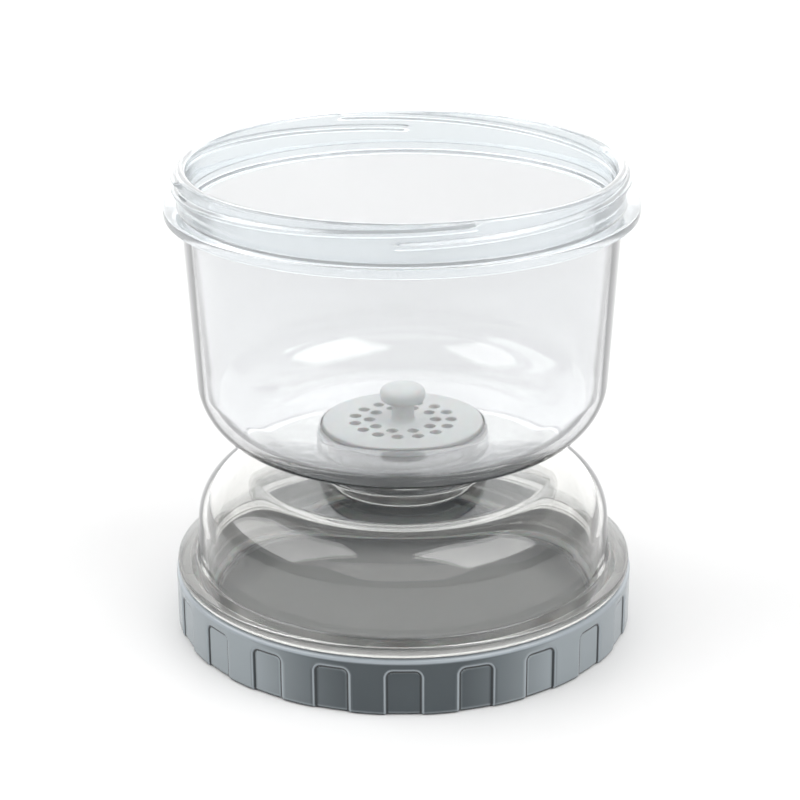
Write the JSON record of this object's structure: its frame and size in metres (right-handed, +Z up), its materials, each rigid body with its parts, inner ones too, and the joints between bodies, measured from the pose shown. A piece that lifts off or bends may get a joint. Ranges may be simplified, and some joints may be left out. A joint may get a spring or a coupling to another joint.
{
  "type": "pickle keeper with lift strainer",
  "caption": "Hourglass pickle keeper: two clear chambers screwed together at a narrow waist, a lift-out strainer between them and a grey screw lid as its foot.",
  "frame": {"origin": "centre of the circle on which the keeper stands, at the level of the table", "axes": "+Z up along the keeper's axis; -Y is the front, where one grip recess of the lid is centred"},
  "size_m": [0.115, 0.115, 0.1175],
  "materials": {
    "lid_plastic": "fine satin moulded",
    "gasket_silicone": "satin",
    "lower_clear_plastic": "clear polished",
    "seal_silicone": "satin",
    "upper_clear_plastic": "clear polished",
    "strainer_plastic": "satin moulded"
  },
  "bodies": {
    "base": {"base_lid": "lid_plastic"},
    "base_ring": {"base_gasket": "gasket_silicone"},
    "lower": {"lower_chamber": "lower_clear_plastic"},
    "waist_ring": {"waist_seal": "seal_silicone"},
    "upper": {"upper_chamber": "upper_clear_plastic"},
    "strainer_insert": {"strainer": "strainer_plastic"}
  },
  "joints": [
    {"name": "base_turn", "type": "hinge", "parent": "base", "child": "base_ring", "pos_m": [0, 0, 0], "axis": [0, 0, 1], "range_deg": [0, 108]},
    {"name": "base_rise", "type": "slide", "parent": "base_ring", "child": "lower", "axis": [0, 0, 1], "range_m": [0, 0.00361]},
    {"name": "waist_turn", "type": "hinge", "parent": "lower", "child": "waist_ring", "pos_m": [0, 0, 0.0473], "axis": [0, 0, 1], "range_deg": [0, 360]},
    {"name": "waist_rise", "type": "slide", "parent": "waist_ring", "child": "upper", "axis": [0, 0, 1], "range_m": [0, 0.00601]},
    {"name": "strainer_lift", "type": "slide", "parent": "upper", "child": "strainer_insert", "axis": [0, 0, 1], "range_m": [0, 0.085]}
  ],
  "couplings": [
    {"joint": "base_rise", "follows": "base_turn", "m_per_rad": 0.0019099},
    {"joint": "waist_rise", "follows": "waist_turn", "m_per_rad": 0.00095493}
  ]
}
